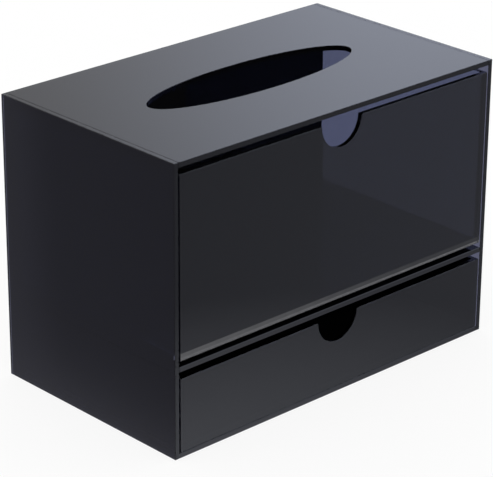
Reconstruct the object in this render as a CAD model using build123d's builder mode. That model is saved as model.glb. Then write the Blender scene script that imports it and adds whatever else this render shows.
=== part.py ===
from build123d import *
import os

# Tissue box with drawer: a casing of cemented acrylic sheet with an oval slot in its top.
#
# The casing has two bays, one above the other. The upper bay holds a tissue tray and the
# lower bay holds a shallow drawer. Both slide out to the front, and each is pulled by a
# half-round finger notch in the top edge of its front.
#
# Millimetres. The origin is at the middle of the underside, +X runs along the width,
# the front faces -Y and +Z is up.

# ---- Driving dimensions -------------------------------------------------------------

width = 240.0  # outside, over both side panels
depth = 140.0  # outside, front edge to back face
height = 168.0  # outside, underside to top face
sheet = 3.0  # thickness of every sheet
lower_bay_height = 47.5  # clear height between the base and the shelf

slot_length = 150.0  # oval slot in the top
slot_width = 42.0
notch_radius = 15.0  # half-round finger notches, centred on the top edges of the fronts

side_gap = 0.8  # between a front's end and the casing wall beside it
running_gap = 0.3  # under the edges that slide
tray_top_gap = 3.8  # above the tray
drawer_top_gap = 4.0  # above the drawer
rear_gap = 6.8  # behind a closed tray or drawer
runner_width = 12.0  # strips under the tray's floor
runner_setback = 12.0  # from the tray's front to the front ends of the strips

cement_line = 0.05  # joint between two sheets that are cemented together
edge_break = 0.25  # polished chamfer along the edges of every sheet

# ---- Places that follow from them ----------------------------------------------------

front_y = -depth / 2
back_y = depth / 2
casing_inner_x = width / 2 - sheet
between_sides = 2 * (casing_inner_x - cement_line)

top_underside_z = height - sheet
shelf_underside_z = sheet + lower_bay_height
shelf_top_z = shelf_underside_z + sheet

# The back panel stands between the side panels, below the top panel.
back_panel_front_y = back_y - sheet
back_panel_height = top_underside_z - cement_line

# The base and the shelf run from the front edge to the back panel.
floor_plate_back_y = back_panel_front_y - cement_line
floor_plate_depth = floor_plate_back_y - front_y
floor_plate_middle_y = (floor_plate_back_y + front_y) / 2

# The tray and the drawer share their width and their depth. All the sheets behind a front
# start at box_front_y and end at box_back_y.
box_width = 2 * (casing_inner_x - side_gap)
wall_outer_x = box_width / 2
wall_inner_x = wall_outer_x - sheet
between_walls = 2 * (wall_inner_x - cement_line)
box_front_y = front_y + sheet + cement_line
box_back_y = back_panel_front_y - rear_gap
box_length = box_back_y - box_front_y
box_middle_y = (box_back_y + box_front_y) / 2

# The tray stands on its runners, and the drawer on its own floor.
runner_z = shelf_top_z + running_gap
tray_floor_z = runner_z + sheet + cement_line
tray_top_z = top_underside_z - tray_top_gap
drawer_floor_z = sheet + running_gap
drawer_top_z = shelf_underside_z - drawer_top_gap

runner_front_y = box_front_y + runner_setback
runner_length = box_back_y - runner_front_y
runner_middle_y = (box_back_y + runner_front_y) / 2
runner_middle_x = wall_outer_x - runner_width / 2

os.makedirs("parts", exist_ok=True)


def finish(piece, name):
    """Names a finished piece and writes it to its own file."""
    piece.part.label = name
    export_step(piece.part, f"parts/{name}.step")


# ---- Casing --------------------------------------------------------------------------

# Full-height side panels: every other casing sheet is held between them.
for side_name, side_plane in (
    ("left", Plane.YZ.offset(-width / 2)),
    ("right", Plane.YZ.offset(casing_inner_x)),
):
    with BuildPart() as side_panel:
        with BuildSketch(side_plane):
            with Locations((0, height / 2)):
                Rectangle(depth, height)
        extrude(amount=sheet)
        chamfer(side_panel.edges(), edge_break)
    finish(side_panel, f"{side_name}_side_panel")

# The top panel lies between the side panels, and its slot has a rounded rim.
with BuildPart() as top_panel:
    with BuildSketch(Plane.XY.offset(top_underside_z)):
        Rectangle(between_sides, depth)
    extrude(amount=sheet)
    chamfer(top_panel.edges(), edge_break)
    with BuildSketch(Plane.XY.offset(top_underside_z)):
        Ellipse(slot_length / 2, slot_width / 2)
    extrude(amount=sheet, mode=Mode.SUBTRACT)
    fillet(top_panel.edges().filter_by(GeomType.ELLIPSE), edge_break)
finish(top_panel, "top_panel")

with BuildPart() as back_panel:
    with BuildSketch(Plane.XZ.offset(-back_y)):
        with Locations((0, back_panel_height / 2)):
            Rectangle(between_sides, back_panel_height)
    extrude(amount=sheet)
    chamfer(back_panel.edges(), edge_break)
finish(back_panel, "back_panel")

# The base panel closes the bottom, and the shelf divides the two bays.
for plate_name, plate_z in (("base_panel", 0), ("middle_shelf", shelf_underside_z)):
    with BuildPart() as floor_plate:
        with BuildSketch(Plane.XY.offset(plate_z)):
            with Locations((0, floor_plate_middle_y)):
                Rectangle(between_sides, floor_plate_depth)
        extrude(amount=sheet)
        chamfer(floor_plate.edges(), edge_break)
    finish(floor_plate, plate_name)


# ---- Tissue tray and drawer ----------------------------------------------------------

# Each is a box of five sheets. The two walls and the back stand on the floor, the back
# between the walls, and the front covers the front edges of the floor and the walls.
for box_name, floor_z, top_z in (
    ("tray", tray_floor_z, tray_top_z),
    ("drawer", drawer_floor_z, drawer_top_z),
):
    wall_bottom_z = floor_z + sheet + cement_line
    wall_height = top_z - wall_bottom_z
    wall_middle_z = (top_z + wall_bottom_z) / 2
    front_height = top_z - floor_z

    with BuildPart() as box_front:
        with BuildSketch(Plane.XZ.offset(-front_y)):
            with Locations((0, floor_z + front_height / 2)):
                Rectangle(box_width, front_height)
            with Locations((0, top_z)):
                Circle(notch_radius, mode=Mode.SUBTRACT)
        extrude(amount=-sheet)
        chamfer(box_front.edges(), edge_break)
    finish(box_front, f"{box_name}_front")

    with BuildPart() as box_floor:
        with BuildSketch(Plane.XY.offset(floor_z)):
            with Locations((0, box_middle_y)):
                Rectangle(box_width, box_length)
        extrude(amount=sheet)
        chamfer(box_floor.edges(), edge_break)
    finish(box_floor, f"{box_name}_floor")

    for side_name, wall_plane in (
        ("left", Plane.YZ.offset(-wall_outer_x)),
        ("right", Plane.YZ.offset(wall_inner_x)),
    ):
        with BuildPart() as box_wall:
            with BuildSketch(wall_plane):
                with Locations((box_middle_y, wall_middle_z)):
                    Rectangle(box_length, wall_height)
            extrude(amount=sheet)
            chamfer(box_wall.edges(), edge_break)
        finish(box_wall, f"{box_name}_{side_name}_side")

    with BuildPart() as box_back:
        with BuildSketch(Plane.XZ.offset(-box_back_y)):
            with Locations((0, wall_middle_z)):
                Rectangle(between_walls, wall_height)
        extrude(amount=sheet)
        chamfer(box_back.edges(), edge_break)
    finish(box_back, f"{box_name}_back")

# Two strips under the tray's floor carry it on the shelf. They start well behind the
# front, so only the shadow gap that they leave shows below it.
for side_name, strip_x in (("left", -runner_middle_x), ("right", runner_middle_x)):
    with BuildPart() as runner:
        with BuildSketch(Plane.XY.offset(runner_z)):
            with Locations((strip_x, runner_middle_y)):
                Rectangle(runner_width, runner_length)
        extrude(amount=sheet)
        chamfer(runner.edges(), edge_break)
    finish(runner, f"tray_{side_name}_runner")
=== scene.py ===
import math

import bpy
from mathutils import Matrix, Vector


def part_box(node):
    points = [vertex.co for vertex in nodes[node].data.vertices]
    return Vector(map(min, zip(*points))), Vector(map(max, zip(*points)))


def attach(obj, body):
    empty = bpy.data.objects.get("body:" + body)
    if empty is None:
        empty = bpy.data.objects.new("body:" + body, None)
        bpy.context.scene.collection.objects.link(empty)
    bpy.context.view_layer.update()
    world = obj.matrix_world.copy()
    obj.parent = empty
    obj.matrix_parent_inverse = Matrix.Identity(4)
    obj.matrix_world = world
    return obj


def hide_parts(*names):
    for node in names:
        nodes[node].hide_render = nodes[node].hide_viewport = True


# Looks of the tissue box with drawer: polished acrylic sheet, smoked or black, 3 mm thick.
# Metres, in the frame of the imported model: the front faces -Y and +Z is up.

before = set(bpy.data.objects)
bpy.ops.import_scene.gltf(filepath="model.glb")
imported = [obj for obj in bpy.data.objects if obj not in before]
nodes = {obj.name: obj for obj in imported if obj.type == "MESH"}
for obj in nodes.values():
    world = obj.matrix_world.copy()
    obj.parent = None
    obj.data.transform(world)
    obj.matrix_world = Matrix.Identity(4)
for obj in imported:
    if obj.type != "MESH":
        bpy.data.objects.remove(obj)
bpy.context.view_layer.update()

MM = 0.001

# ---- Camera ---------------------------------------------------------------------------

# Solved from the places of the box's corners in the photograph.
image_width = 493
focal_pixels = 2417.8
sensor_width = 36.0
camera_azimuth = math.radians(-43.399)
camera_elevation = math.radians(23.201)
camera_roll = math.radians(0.403)
camera_distance = 1361.2 * MM
aim_point = Vector((-7.25, -4.09, 74.05)) * MM


def make_camera():
    """Sees the box from its front left and from above, as the photograph does."""
    back = Vector((
        math.sin(camera_azimuth) * math.cos(camera_elevation),
        -math.cos(camera_azimuth) * math.cos(camera_elevation),
        math.sin(camera_elevation),
    ))
    level = Vector((math.cos(camera_azimuth), math.sin(camera_azimuth), 0))
    turn = Matrix.Rotation(camera_roll, 3, back)
    right = turn @ level
    up = turn @ back.cross(level)

    data = bpy.data.cameras.new("photo_camera")
    data.sensor_width = sensor_width
    data.lens = focal_pixels * sensor_width / image_width
    camera = bpy.data.objects.new("photo_camera", data)
    pose = Matrix((right, up, back)).transposed().to_4x4()
    pose.translation = aim_point + back * camera_distance
    camera.matrix_world = pose
    bpy.context.scene.collection.objects.link(camera)
    bpy.context.scene.camera = camera


# ---- Node trees -----------------------------------------------------------------------

class Graph:
    """Adds nodes to a node tree and joins them up."""

    def __init__(self, tree):
        self.tree = tree
        tree.nodes.clear()

    def add(self, kind, **settings):
        node = self.tree.nodes.new(kind)
        for name, value in settings.items():
            setattr(node, name, value)
        return node

    def set(self, socket, value):
        """Gives a socket a plain value or the output that feeds it."""
        if isinstance(value, bpy.types.NodeSocket):
            self.tree.links.new(value, socket)
        else:
            socket.default_value = value

    def math(self, operation, first, second):
        node = self.add("ShaderNodeMath", operation=operation)
        self.set(node.inputs[0], first)
        self.set(node.inputs[1], second)
        return node.outputs[0]

    def vector_math(self, operation, first, second):
        node = self.add("ShaderNodeVectorMath", operation=operation)
        self.set(node.inputs[0], first)
        self.set(node.inputs[1], second)
        return node.outputs["Vector"]

    def dot(self, first, second):
        node = self.add("ShaderNodeVectorMath", operation="DOT_PRODUCT")
        self.set(node.inputs[0], first)
        self.set(node.inputs[1], second)
        return node.outputs["Value"]

    def length(self, vector):
        node = self.add("ShaderNodeVectorMath", operation="LENGTH")
        self.set(node.inputs[0], vector)
        return node.outputs["Value"]

    def split(self, vector):
        """The X, Y and Z outputs of a vector, by name."""
        node = self.add("ShaderNodeSeparateXYZ")
        self.set(node.inputs[0], vector)
        return node.outputs

    def mix(self, share, first, second):
        """A number between first and second."""
        node = self.add("ShaderNodeMix", data_type="FLOAT")
        self.set(node.inputs[0], share)
        self.set(node.inputs[2], first)
        self.set(node.inputs[3], second)
        return node.outputs[0]

    def mix_colour(self, share, first, second):
        node = self.add("ShaderNodeMix", data_type="RGBA")
        self.set(node.inputs[0], share)
        self.set(node.inputs[6], first)
        self.set(node.inputs[7], second)
        return node.outputs[2]

    def mix_shader(self, share, first, second):
        node = self.add("ShaderNodeMixShader")
        self.set(node.inputs[0], share)
        self.set(node.inputs[1], first.outputs[0])
        self.set(node.inputs[2], second.outputs[0])
        return node

    def remap(self, value, low, high, to_low, to_high, curve="SMOOTHSTEP"):
        """Turns values from low to high into values from to_low to to_high."""
        node = self.add("ShaderNodeMapRange", interpolation_type=curve)
        self.set(node.inputs["Value"], value)
        self.set(node.inputs["From Min"], low)
        self.set(node.inputs["From Max"], high)
        self.set(node.inputs["To Min"], to_low)
        self.set(node.inputs["To Max"], to_high)
        return node.outputs["Result"]

    def noise(self, place, scale, detail=2.0, **settings):
        """Noise of scale cells per unit of place."""
        node = self.add("ShaderNodeTexNoise", **settings)
        self.set(node.inputs["Vector"], place)
        node.inputs["Scale"].default_value = scale
        node.inputs["Detail"].default_value = detail
        return node.outputs["Fac"]


# ---- Studio ---------------------------------------------------------------------------

# The photograph's right, level with the ground: the soft light is stronger on that side.
studio_right = Vector((math.cos(camera_azimuth), math.sin(camera_azimuth), 0))
sky_left = (0.60, 0.605, 0.64, 1.0)  # light that the sheets mirror on the left
sky_right = (1.18, 1.26, 1.50, 1.0)  # and on the right
sky_middle = -0.020  # where the change between them lies, as a sine
sky_spread = 0.095  # and half its width
white = (1.0, 1.0, 1.0, 1.0)

floor_drop = 0.2 * MM
floor_size = 8.0
floor_shadow = 0.15  # share of the floor's look that is lit, and so holds the box's shadow

# The floor as the sheets mirror it is painted: a painted pool of light before the box and
# painted shade beside and behind it, seen only by mirrored rays.
painted_far_floor = (0.362, 0.374, 0.440, 1.0)  # painted reflection: the light that the sheets mirror in the floor before the box
painted_light_pool = (0.90, 0.93, 1.05, 1.0)  # and in the painted pool of light at its front left corner
pool_middle = Vector((-110.0, -80.0, 0.0)) * MM
pool_reach = Vector((245.0, 158.0, 1000.0)) * MM

side_line = -121.0 * MM  # the floor left of it is mirrored by the left side alone
painted_shade_beside = (0.232, 0.232, 0.28, 1.0)  # painted shade there, beside the box
painted_shade_behind = (0.335, 0.335, 0.40, 1.0)  # and far behind the box
painted_shade_at_foot = (0.44, 0.44, 0.51, 1.0)  # and close to its left side
side_reach = 150.0 * MM  # how far from the side the last of these is gone
foot_power = 5.0  # and how fast it fades on the way
behind_line = (1.303, 1.0, 0.0)  # across the floor, from where it is dark to where it is bright
behind_start = -144.0 * MM
behind_end = -79.0 * MM


def mirrored_ray(graph):
    """1 for a ray that a polished sheet has mirrored, also inside it, and 0 for any other."""
    rays = graph.add("ShaderNodeLightPath").outputs
    return graph.math("MINIMUM", rays["Glossy Depth"], 1.0)


def make_world():
    """White behind the box, and a soft light that is stronger on the right."""
    world = bpy.data.worlds.new("soft_studio")
    bpy.context.scene.world = world
    world.use_nodes = True
    graph = Graph(world.node_tree)
    direction = graph.add("ShaderNodeTexCoord").outputs["Generated"]
    across = graph.remap(
        graph.dot(direction, studio_right),
        sky_middle - sky_spread, sky_middle + sky_spread, 0.0, 1.0,
    )
    sky = graph.mix_colour(across, sky_left, sky_right)
    background = graph.add("ShaderNodeBackground")
    graph.set(background.inputs["Color"], graph.mix_colour(mirrored_ray(graph), white, sky))
    output = graph.add("ShaderNodeOutputWorld")
    graph.set(output.inputs["Surface"], background.outputs[0])


def painted_floor_reflection(graph, place):
    """Painted reflection of the floor in the sheets: a painted pool of light before the box,
    and painted shade on its left.
    """
    from_pool = graph.vector_math("SUBTRACT", place, pool_middle)
    away = graph.length(graph.vector_math("DIVIDE", from_pool, pool_reach))
    pool_share = graph.remap(away, 0.0, 1.0, 1.0, 0.0, "LINEAR")
    before = graph.mix_colour(pool_share, painted_far_floor, painted_light_pool)

    x = graph.split(place)["X"]
    side_share = graph.remap(x, side_line - side_reach, side_line, 0.0, 1.0, "LINEAR")
    foot_share = graph.math("POWER", side_share, foot_power)
    behind_share = graph.remap(
        graph.dot(place, behind_line), behind_start, behind_end, 0.0, 1.0
    )
    far_side = graph.mix_colour(behind_share, painted_shade_beside, painted_shade_behind)
    beside = graph.mix_colour(foot_share, far_side, painted_shade_at_foot)
    return graph.mix_colour(graph.math("GREATER_THAN", x, side_line), beside, before)


def make_floor():
    """A white table that holds a faint shadow, and that the sheets mirror as a painted
    reflection of light and shade.
    """
    half = floor_size / 2
    corners = [(-half, -half), (half, -half), (half, half), (-half, half)]
    mesh = bpy.data.meshes.new("table_top")
    mesh.from_pydata([(x, y, -floor_drop) for x, y in corners], [], [(0, 1, 2, 3)])
    floor = bpy.data.objects.new("table_top", mesh)
    bpy.context.scene.collection.objects.link(floor)

    material = bpy.data.materials.new("white_table")
    material.use_nodes = True
    graph = Graph(material.node_tree)
    place = graph.add("ShaderNodeTexCoord").outputs["Object"]
    # Painted reflection: mirrored rays see a painted pool of light and painted shade, not the
    # lit table.
    mirrored = graph.add("ShaderNodeEmission")
    graph.set(mirrored.inputs["Color"], painted_floor_reflection(graph, place))

    bright = graph.add("ShaderNodeEmission")
    bright.inputs["Color"].default_value = white
    lit = graph.add("ShaderNodeBsdfDiffuse")
    lit.inputs["Color"].default_value = white
    shown = graph.mix_shader(floor_shadow, bright, lit)
    above = graph.mix_shader(mirrored_ray(graph), shown, mirrored)

    # From below, the table is clear, so that the box's underside can be seen.
    is_below = graph.add("ShaderNodeNewGeometry").outputs["Backfacing"]
    clear = graph.add("ShaderNodeBsdfTransparent")
    one_way = graph.mix_shader(is_below, above, clear)
    output = graph.add("ShaderNodeOutputMaterial")
    graph.set(output.inputs["Surface"], one_way.outputs[0])
    mesh.materials.append(material)


# ---- Effects that the finishes share --------------------------------------------------

# Noise scales are in cells per metre.
noise_low, noise_high = 0.3, 0.7  # most of a noise texture's values lie between these

haze_scale = 28.0
haze_detail = 3.0
haze_least, haze_most = 0.7, 1.3  # shares of its haze that a sheet has from place to place
hairline_width_scale = 2600.0
hairline_length_scale = 45.0
hairline_start, hairline_full = 0.68, 0.80  # noise above these makes a hairline scratch
hairline_directions = (  # across and along the scratches of each set
    ((0.62, 0.35, 0.70), (-0.70, 0.65, 0.29)),
    ((0.40, -0.75, 0.52), (0.78, 0.55, 0.20)),
)

edge_below, face_above = 0.05, 0.60  # how squarely a cut edge and a face look along the axis
ripple_scale = 900.0

line_height = 0.5 * MM  # the brighter line of painted glow along the foot of the tray floor's front edge
painted_line_glow_left = 0.70  # its painted glow, as shares of painted_edge_glow
painted_line_glow_right = 0.85
painted_edge_glow_left = 0.37  # and the painted glow of the edge above it
painted_edge_glow_right = 0.10
edge_facing_start, edge_facing_full = 0.60, 0.70  # how squarely the painted glowing edge faces the front
edge_cloud_scale = 120.0
edge_cloud_least, edge_cloud_most = 0.9, 1.1


def group_tree(name, inputs, outputs):
    """An empty shader node group with named inputs and outputs."""
    tree = bpy.data.node_groups.new(name, "ShaderNodeTree")
    for socket_name, kind in inputs:
        tree.interface.new_socket(name=socket_name, in_out="INPUT", socket_type=kind)
    for socket_name, kind in outputs:
        tree.interface.new_socket(name=socket_name, in_out="OUTPUT", socket_type=kind)
    graph = Graph(tree)
    given = graph.add("NodeGroupInput").outputs
    result = graph.add("NodeGroupOutput").inputs
    return graph, given, result


def make_polish_group():
    """Polished sheet: hairline scratches and a faint, uneven haze."""
    graph, given, result = group_tree(
        "polished_sheet",
        [
            ("Place", "NodeSocketVector"),
            ("Haze", "NodeSocketFloat"),
            ("Scratches", "NodeSocketFloat"),
        ],
        [("Roughness", "NodeSocketFloat"), ("Height", "NodeSocketFloat")],
    )
    place = given["Place"]
    cloud = graph.noise(place, haze_scale, haze_detail)

    # Each set of scratches is noise drawn out long and thin, of which only the peaks stay.
    scratches = 0.0
    for across, along in hairline_directions:
        stretched = graph.add("ShaderNodeCombineXYZ")
        for axis, direction, scale in (
            ("X", across, hairline_width_scale),
            ("Y", along, hairline_length_scale),
        ):
            distance = graph.math("MULTIPLY", graph.dot(place, direction), scale)
            graph.set(stretched.inputs[axis], distance)
        streaks = graph.noise(stretched.outputs[0], 1.0, 1.0, noise_dimensions="2D")
        peaks = graph.remap(streaks, hairline_start, hairline_full, 0.0, 1.0)
        scratches = graph.math("MAXIMUM", scratches, peaks)
    marks = graph.math("MULTIPLY", scratches, given["Scratches"])
    uneven = graph.remap(cloud, noise_low, noise_high, haze_least, haze_most)
    haze = graph.math("MULTIPLY", given["Haze"], uneven)
    graph.set(result["Roughness"], graph.math("ADD", haze, marks))
    graph.set(result["Height"], cloud)
    return graph.tree


def make_cut_edge_group():
    """Finds a sheet's cut edges, which lie across its face axis, and their fine ripple."""
    graph, given, result = group_tree(
        "cut_edge",
        [
            ("Place", "NodeSocketVector"),
            ("Normal", "NodeSocketVector"),
            ("Face Axis", "NodeSocketVector"),
        ],
        [("Edge", "NodeSocketFloat"), ("Ripple", "NodeSocketFloat")],
    )
    squareness = graph.math("ABSOLUTE", graph.dot(given["Normal"], given["Face Axis"]), 0.0)
    edge = graph.remap(squareness, edge_below, face_above, 1.0, 0.0)
    ripple = graph.noise(given["Place"], ripple_scale)
    graph.set(result["Edge"], edge)
    graph.set(result["Ripple"], graph.math("MULTIPLY", ripple, edge))
    return graph.tree


def make_painted_edge_glow_group():
    """Painted glow at the front edge of the tray's floor: emission that stands for light seen
    through the tray's dark front.

    It fades to the right, and its lowest part is brighter and keeps its brightness.
    """
    graph, given, result = group_tree(
        "painted_edge_glow",
        [("Place", "NodeSocketVector"), ("Normal", "NodeSocketVector")],
        [("Light", "NodeSocketColor")],
    )
    frontness = graph.dot(given["Normal"], (0, -1, 0))
    facing = graph.remap(frontness, edge_facing_start, edge_facing_full, 0.0, 1.0)
    place = graph.split(given["Place"])
    low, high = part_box("tray_floor")
    fading = graph.remap(place["X"], low.x, high.x, painted_edge_glow_left, painted_edge_glow_right)
    rising = graph.remap(place["X"], low.x, high.x, painted_line_glow_left, painted_line_glow_right)
    in_line = graph.remap(
        place["Z"], low.z + 0.5 * line_height, low.z + 1.5 * line_height, 1.0, 0.0
    )
    cloud = graph.noise(given["Place"], edge_cloud_scale)
    uneven = graph.remap(cloud, noise_low, noise_high, edge_cloud_least, edge_cloud_most)
    amount = graph.math("MULTIPLY", graph.mix(in_line, fading, rising), uneven)
    grey = graph.add("ShaderNodeCombineColor")
    for channel in ("Red", "Green", "Blue"):
        graph.set(grey.inputs[channel], graph.math("MULTIPLY", amount, facing))
    graph.set(result["Light"], grey.outputs[0])
    return graph.tree


polish_group = make_polish_group()
cut_edge_group = make_cut_edge_group()
painted_edge_glow_group = make_painted_edge_glow_group()

# ---- Finishes -------------------------------------------------------------------------

acrylic_ior = 1.49
polished_haze = 0.012  # roughness of a polished face
satin_haze = 0.45
hairline_haze = 0.03  # roughness that a scratch adds
ripple_haze = 0.10  # and that the ripple adds to a cut edge
bump_strength = 0.04
bump_height = 0.02 * MM
painted_edge_glow = 2.0  # brightest painted glow of the tray floor's front edge

# A see-through sheet is tinted by its base colour and by what its thickness absorbs.
light_tint = (0.97, 1.0, 1.0, 1.0)
light_smoke = (0.45, 0.56, 0.94, 1.0)
light_density = 100.0
side_tint = (0.30, 0.30, 0.30, 1.0)
side_smoke = (0.262, 0.295, 0.602, 1.0)
dark_tint = (0.15, 0.15, 0.15, 1.0)
dark_smoke = (0.615, 0.615, 0.625, 1.0)
top_tint = (0.05, 0.05, 0.05, 1.0)
top_smoke = (0.10, 0.10, 0.11, 1.0)
smoke_density = 400.0

black_face = (0.0015, 0.0015, 0.0020, 1.0)
black_edge = (0.0080, 0.0080, 0.0095, 1.0)

x_axis, y_axis, z_axis = (1, 0, 0), (0, 1, 0), (0, 0, 1)


def sheet_finish(name, face_axis, face_colour, edge_colour, smoke=None, density=0.0,
                 haze=polished_haze, glows=False):
    """Material of a polished sheet whose broad faces look along face_axis.

    smoke and density are the colour and the density that a see-through sheet absorbs with.
    haze is the roughness of the faces, low on a polished sheet and higher on a satin one.
    glows is for the tray's floor, whose front edge gets a painted glow, an emission that stands
    for light.
    """
    material = bpy.data.materials.new(name)
    material.use_nodes = True
    graph = Graph(material.node_tree)
    coordinates = graph.add("ShaderNodeTexCoord").outputs

    polish = graph.add("ShaderNodeGroup", node_tree=polish_group)
    graph.set(polish.inputs["Place"], coordinates["Object"])
    polish.inputs["Haze"].default_value = haze
    polish.inputs["Scratches"].default_value = hairline_haze

    cut = graph.add("ShaderNodeGroup", node_tree=cut_edge_group)
    graph.set(cut.inputs["Place"], coordinates["Object"])
    graph.set(cut.inputs["Normal"], coordinates["Normal"])
    cut.inputs["Face Axis"].default_value = face_axis

    shader = graph.add("ShaderNodeBsdfPrincipled")
    colour = graph.mix_colour(cut.outputs["Edge"], face_colour, edge_colour)
    graph.set(shader.inputs["Base Color"], colour)
    rough_edge = graph.math("MULTIPLY", cut.outputs["Ripple"], ripple_haze)
    roughness = graph.math("ADD", polish.outputs["Roughness"], rough_edge)
    graph.set(shader.inputs["Roughness"], roughness)
    shader.inputs["IOR"].default_value = acrylic_ior

    bump = graph.add("ShaderNodeBump")
    bump.inputs["Strength"].default_value = bump_strength
    bump.inputs["Distance"].default_value = bump_height
    graph.set(bump.inputs["Height"], polish.outputs["Height"])
    graph.set(shader.inputs["Normal"], bump.outputs["Normal"])

    # Painted glow: emission along the front edge of the tray's floor.
    if glows:
        light = graph.add("ShaderNodeGroup", node_tree=painted_edge_glow_group)
        graph.set(light.inputs["Place"], coordinates["Object"])
        graph.set(light.inputs["Normal"], coordinates["Normal"])
        graph.set(shader.inputs["Emission Color"], light.outputs["Light"])
        shader.inputs["Emission Strength"].default_value = painted_edge_glow

    output = graph.add("ShaderNodeOutputMaterial")
    graph.set(output.inputs["Surface"], shader.outputs[0])
    if smoke is not None:
        shader.inputs["Transmission Weight"].default_value = 1.0
        absorption = graph.add("ShaderNodeVolumeAbsorption")
        absorption.inputs["Color"].default_value = smoke
        absorption.inputs["Density"].default_value = density
        graph.set(output.inputs["Volume"], absorption.outputs[0])
    return material


def smoked(name, face_axis, tint, smoke, density=smoke_density):
    return sheet_finish(name, face_axis, tint, tint, smoke, density)


def black(name, face_axis, **details):
    return sheet_finish(name, face_axis, black_face, black_edge, **details)


light_wall = smoked("light_smoked_wall_sheet", x_axis, light_tint, light_smoke, light_density)
smoked_side = smoked("smoked_side_sheet", x_axis, side_tint, side_smoke)
dark_top = smoked("dark_top_sheet", z_axis, top_tint, top_smoke)
dark_front = smoked("dark_front_sheet", y_axis, dark_tint, dark_smoke)
black_plate = black("black_level_sheet", z_axis)
black_wall = black("black_wall_sheet", x_axis)
black_back = black("black_upright_sheet", y_axis)
drawer_floor_plate = black("black_satin_sheet", z_axis, haze=satin_haze)
# The tray floor's front edge has a painted glow.
tray_floor_plate = black("black_tray_floor_sheet", z_axis, glows=True)

finishes = {
    "left_side_panel": smoked_side,
    "right_side_panel": smoked_side,
    "top_panel": dark_top,
    "back_panel": black_back,
    "base_panel": black_plate,
    "middle_shelf": black_plate,
    "tray_front": dark_front,
    "tray_left_side": light_wall,
    "tray_right_side": light_wall,
    "tray_back": black_back,
    "tray_floor": tray_floor_plate,
    "tray_left_runner": black_plate,
    "tray_right_runner": black_plate,
    "drawer_front": dark_front,
    "drawer_left_side": black_wall,
    "drawer_right_side": black_wall,
    "drawer_back": black_back,
    "drawer_floor": drawer_floor_plate,
}


def dress(piece, material):
    """Puts one material on every face of a piece."""
    slots = piece.data.materials
    if len(slots) == 0:
        slots.append(material)
    for index in range(len(slots)):
        slots[index] = material


# ---- Sheets with a cut-out ------------------------------------------------------------

slot_radii = (75.0 * MM, 21.0 * MM)
notch_radii = (15.0 * MM, 15.0 * MM)
cutter_length = 20.0 * MM
upright = (0.0, 0.0, 0.0)
lying = (math.radians(90), 0.0, 0.0)
arc_points = 256

rim_round = 0.25 * MM
rim_segments = 3
rim_angle = math.radians(40)  # edges sharper than this are rims


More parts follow.
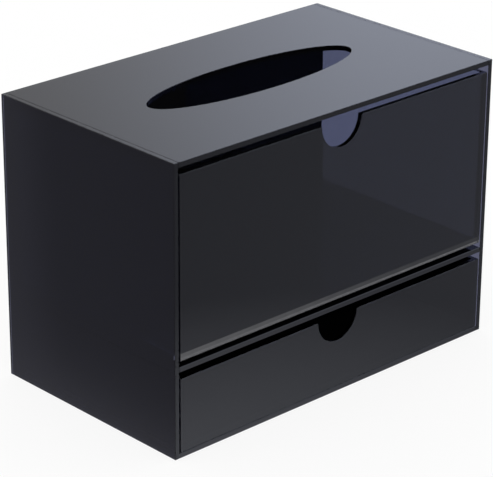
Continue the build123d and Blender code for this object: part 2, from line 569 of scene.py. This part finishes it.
def cut_sheet_tree():
    """A flat sheet with an oval or a round cut through it."""
    tree = bpy.data.node_groups.new("cut_sheet", "GeometryNodeTree")
    tree.is_modifier = True
    for name, kind in (
        ("Size", "NodeSocketVector"),
        ("Middle", "NodeSocketVector"),
        ("Cutter Size", "NodeSocketVector"),
        ("Cutter Middle", "NodeSocketVector"),
        ("Cutter Turn", "NodeSocketVector"),
        ("Arc Points", "NodeSocketInt"),
        ("Finish", "NodeSocketMaterial"),
    ):
        tree.interface.new_socket(name=name, in_out="INPUT", socket_type=kind)
    tree.interface.new_socket(name="Sheet", in_out="OUTPUT", socket_type="NodeSocketGeometry")
    graph = Graph(tree)
    given = graph.add("NodeGroupInput").outputs
    result = graph.add("NodeGroupOutput").inputs

    sheet = graph.add("GeometryNodeMeshCube")
    graph.set(sheet.inputs["Size"], given["Size"])
    placed = graph.add("GeometryNodeTransform")
    graph.set(placed.inputs["Geometry"], sheet.outputs["Mesh"])
    graph.set(placed.inputs["Translation"], given["Middle"])

    # The cutter's radius and length are 1 here, so its scale is its size.
    cutter = graph.add("GeometryNodeMeshCylinder")
    graph.set(cutter.inputs["Vertices"], given["Arc Points"])
    cutter.inputs["Radius"].default_value = 1.0
    cutter.inputs["Depth"].default_value = 1.0
    shaped = graph.add("GeometryNodeTransform")
    graph.set(shaped.inputs["Geometry"], cutter.outputs["Mesh"])
    graph.set(shaped.inputs["Scale"], given["Cutter Size"])
    turned = graph.add("GeometryNodeTransform")
    graph.set(turned.inputs["Geometry"], shaped.outputs["Geometry"])
    graph.set(turned.inputs["Translation"], given["Cutter Middle"])
    graph.set(turned.inputs["Rotation"], given["Cutter Turn"])

    cut = graph.add("GeometryNodeMeshBoolean", operation="DIFFERENCE", solver="EXACT")
    graph.set(cut.inputs["Mesh 1"], placed.outputs["Geometry"])
    graph.set(cut.inputs["Mesh 2"], turned.outputs["Geometry"])
    real = graph.add("GeometryNodeRealizeInstances")
    graph.set(real.inputs["Geometry"], cut.outputs["Mesh"])
    smooth = graph.add("GeometryNodeSetShadeSmooth")
    graph.set(smooth.inputs["Geometry"], real.outputs["Geometry"])
    finished = graph.add("GeometryNodeSetMaterial")
    graph.set(finished.inputs["Geometry"], smooth.outputs["Geometry"])
    graph.set(finished.inputs["Material"], given["Finish"])
    graph.set(result["Sheet"], finished.outputs["Geometry"])
    return tree


sheet_tree = cut_sheet_tree()


def make_cut_sheet(name, node, body, radii, cutter_middle, cutter_turn, finish):
    """Builds the sheet that stands for a CAD node, with its rims rounded smoothly."""
    low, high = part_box(node)
    values = {
        "Size": high - low,
        "Middle": (high + low) / 2,
        "Cutter Size": (*radii, cutter_length),
        "Cutter Middle": cutter_middle,
        "Cutter Turn": cutter_turn,
        "Arc Points": arc_points,
        "Finish": finish,
    }
    piece = bpy.data.objects.new(name, bpy.data.meshes.new(name))
    bpy.context.scene.collection.objects.link(piece)
    maker = piece.modifiers.new("cut_sheet", "NODES")
    maker.node_group = sheet_tree
    for item in sheet_tree.interface.items_tree:
        if item.in_out == "INPUT":
            maker[item.identifier] = values[item.name]
    rims = piece.modifiers.new("rounded_rims", "BEVEL")
    rims.width = rim_round
    rims.segments = rim_segments
    rims.limit_method = "ANGLE"
    rims.angle_limit = rim_angle
    rims.harden_normals = True

    depsgraph = bpy.context.evaluated_depsgraph_get()
    made = bpy.data.meshes.new_from_object(piece.evaluated_get(depsgraph))
    piece.modifiers.clear()
    piece.data = made
    made.name = name
    dress(piece, finish)
    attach(piece, body)
    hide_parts(node)


def make_cut_sheets():
    """The top with its oval slot, and the two fronts with their finger notches."""
    low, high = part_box("top_panel")
    make_cut_sheet(
        "slotted_top", "top_panel", "casing", slot_radii, (low + high) / 2, upright, dark_top
    )
    for piece_name, node, body in (
        ("notched_tray_front", "tray_front", "tissue_tray"),
        ("notched_drawer_front", "drawer_front", "lower_drawer"),
    ):
        low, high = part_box(node)
        top_middle = Vector(((low.x + high.x) / 2, (low.y + high.y) / 2, high.z))
        make_cut_sheet(piece_name, node, body, notch_radii, top_middle, lying, dark_front)


# ---- Put together ---------------------------------------------------------------------

make_camera()
make_world()
make_floor()
for node_name, finish in finishes.items():
    dress(nodes[node_name], finish)
make_cut_sheets()

bpy.context.scene.view_settings.view_transform = "Standard"
